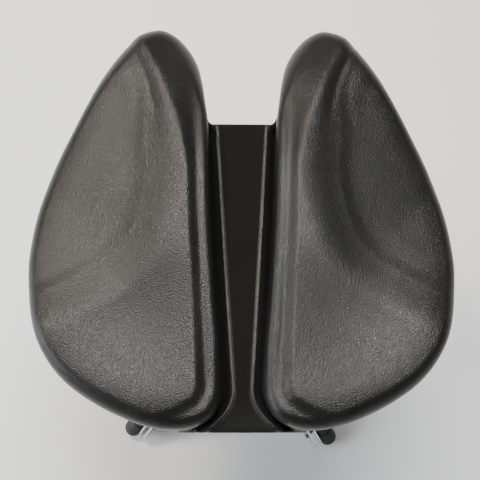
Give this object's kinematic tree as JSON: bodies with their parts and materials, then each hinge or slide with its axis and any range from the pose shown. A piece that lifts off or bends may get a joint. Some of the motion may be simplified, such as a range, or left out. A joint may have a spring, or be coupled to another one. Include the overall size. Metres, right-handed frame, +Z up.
{
  "type": "drum throne",
  "caption": "Folding drum throne: moulded saddle seat with a relief channel and a front notch, on a height-adjustable post and double-bar legs with rubber feet.",
  "frame": {"origin": "on the floor, under the middle of the whole throne's bounding box", "axes": "+Z up; +Y towards the seat's horns, the way the player faces; +X to the player's right"},
  "size_m": [0.457, 0.4695, 0.525],
  "materials": {
    "seat_skin": "satin moulded skin with fine grain",
    "plywood": "black-stained plywood",
    "chrome": "polished",
    "zinc_steel": "zinc plated",
    "black_casting": "black powder coat",
    "rubber": "matt",
    "nylon": "matt"
  },
  "bodies": {
    "base": {"main_tube": "chrome", "tube_end_cap": "nylon", "lower_hub": "black_casting", "hub_roll_pin": "zinc_steel", "height_clamp": "black_casting", "clamp_bushing": "nylon", "clamp_nut": "zinc_steel", "brace_1_pin": "zinc_steel", "brace_2_pin": "zinc_steel", "brace_3_pin": "zinc_steel", "brace_4_pin": "zinc_steel"},
    "collar": {"leg_collar": "black_casting"},
    "collar_bolt": {"collar_wing_bolt": "zinc_steel"},
    "leg_1": {"leg_1_bar_left": "chrome", "leg_1_bar_right": "chrome", "leg_1_pivot_pin": "zinc_steel", "leg_1_rivet_left": "zinc_steel", "leg_1_rivet_right": "zinc_steel", "foot_1": "rubber", "foot_1_bolt": "zinc_steel"},
    "leg_2": {"leg_2_bar_left": "chrome", "leg_2_bar_right": "chrome", "leg_2_pivot_pin": "zinc_steel", "leg_2_rivet_left": "zinc_steel", "leg_2_rivet_right": "zinc_steel", "foot_2": "rubber", "foot_2_bolt": "zinc_steel"},
    "leg_3": {"leg_3_bar_left": "chrome", "leg_3_bar_right": "chrome", "leg_3_pivot_pin": "zinc_steel", "leg_3_rivet_left": "zinc_steel", "leg_3_rivet_right": "zinc_steel", "foot_3": "rubber", "foot_3_bolt": "zinc_steel"},
    "leg_4": {"leg_4_bar_left": "chrome", "leg_4_bar_right": "chrome", "leg_4_pivot_pin": "zinc_steel", "leg_4_rivet_left": "zinc_steel", "leg_4_rivet_right": "zinc_steel", "foot_4": "rubber", "foot_4_bolt": "zinc_steel"},
    "brace_1": {"brace_1": "chrome"},
    "brace_2": {"brace_2": "chrome"},
    "brace_3": {"brace_3": "chrome"},
    "brace_4": {"brace_4": "chrome"},
    "height_bolt": {"height_wing_bolt": "zinc_steel"},
    "post": {"post_tube": "chrome", "post_plug": "nylon", "memory_lock": "black_casting"},
    "lock_screw": {"lock_screw": "zinc_steel"},
    "seat": {"seat_mount": "black_casting", "mount_bolt_1": "zinc_steel", "mount_bolt_2": "zinc_steel", "mount_bolt_3": "zinc_steel", "mount_bolt_4": "zinc_steel", "seat_pan": "plywood", "seat_cushion": "seat_skin"},
    "seat_bolt": {"seat_wing_bolt": "zinc_steel"}
  },
  "joints": [
    {"name": "leg_fold", "type": "slide", "parent": "base", "child": "collar", "axis": [0, 0, 1], "range_m": [0, 0.054]},
    {"name": "leg_1_hinge", "type": "hinge", "parent": "collar", "child": "leg_1", "pos_m": [0.02301, -0.03565, 0.18843], "axis": [-0.7361, 0.6769, 0], "range_deg": [0, 39.6]},
    {"name": "leg_2_hinge", "type": "hinge", "parent": "collar", "child": "leg_2", "pos_m": [-0.02065, -0.03367, 0.18843], "axis": [-0.7944, -0.6074, 0], "range_deg": [0, 39.6]},
    {"name": "leg_3_hinge", "type": "hinge", "parent": "collar", "child": "leg_3", "pos_m": [-0.02301, -0.08571, 0.18843], "axis": [0.7361, -0.6769, 0], "range_deg": [0, 39.6]},
    {"name": "leg_4_hinge", "type": "hinge", "parent": "collar", "child": "leg_4", "pos_m": [0.02065, -0.08769, 0.18843], "axis": [0.7944, 0.6074, 0], "range_deg": [0, 39.6]},
    {"name": "brace_1_hinge", "type": "hinge", "parent": "base", "child": "brace_1", "pos_m": [0.02301, -0.03565, 0.05946], "axis": [-0.7361, 0.6769, 0], "range_deg": [-39.6, 0]},
    {"name": "brace_2_hinge", "type": "hinge", "parent": "base", "child": "brace_2", "pos_m": [-0.02065, -0.03367, 0.05946], "axis": [-0.7944, -0.6074, 0], "range_deg": [-39.6, 0]},
    {"name": "brace_3_hinge", "type": "hinge", "parent": "base", "child": "brace_3", "pos_m": [-0.02301, -0.08571, 0.05946], "axis": [0.7361, -0.6769, 0], "range_deg": [-39.6, 0]},
    {"name": "brace_4_hinge", "type": "hinge", "parent": "base", "child": "brace_4", "pos_m": [0.02065, -0.08769, 0.05946], "axis": [0.7944, 0.6074, 0], "range_deg": [-39.6, 0]},
    {"name": "collar_bolt_turn", "type": "hinge", "parent": "collar", "child": "collar_bolt", "pos_m": [-0.00151, -0.09395, 0.18843], "axis": [-0.0454, -0.999, 0], "range_deg": [0, 360]},
    {"name": "height_bolt_turn", "type": "hinge", "parent": "base", "child": "height_bolt", "pos_m": [0.03445, -0.05143, 0.296], "axis": [0.0454, 0.999, 0], "range_deg": [0, 360]},
    {"name": "seat_height", "type": "slide", "parent": "base", "child": "post", "axis": [0, 0, 1], "range_m": [0, 0.11]},
    {"name": "lock_screw_turn", "type": "hinge", "parent": "post", "child": "lock_screw", "pos_m": [-0.02797, -0.05941, 0.3243], "axis": [-0.0454, -0.999, 0], "range_deg": [0, 360]},
    {"name": "seat_swivel", "type": "hinge", "parent": "post", "child": "seat", "pos_m": [0, -0.06068, 0.4], "axis": [0, 0, 1], "continuous": true},
    {"name": "seat_bolt_turn", "type": "hinge", "parent": "seat", "child": "seat_bolt", "pos_m": [0, -0.09398, 0.404], "axis": [0, -1, 0], "range_deg": [0, 360]}
  ],
  "couplings": [
    {"joint": "leg_1_hinge", "follows": "leg_fold", "rad_per_m": 12.761},
    {"joint": "leg_2_hinge", "follows": "leg_fold", "rad_per_m": 12.761},
    {"joint": "leg_3_hinge", "follows": "leg_fold", "rad_per_m": 12.761},
    {"joint": "leg_4_hinge", "follows": "leg_fold", "rad_per_m": 12.761},
    {"joint": "brace_1_hinge", "follows": "leg_fold", "rad_per_m": -12.761},
    {"joint": "brace_2_hinge", "follows": "leg_fold", "rad_per_m": -12.761},
    {"joint": "brace_3_hinge", "follows": "leg_fold", "rad_per_m": -12.761},
    {"joint": "brace_4_hinge", "follows": "leg_fold", "rad_per_m": -12.761}
  ]
}
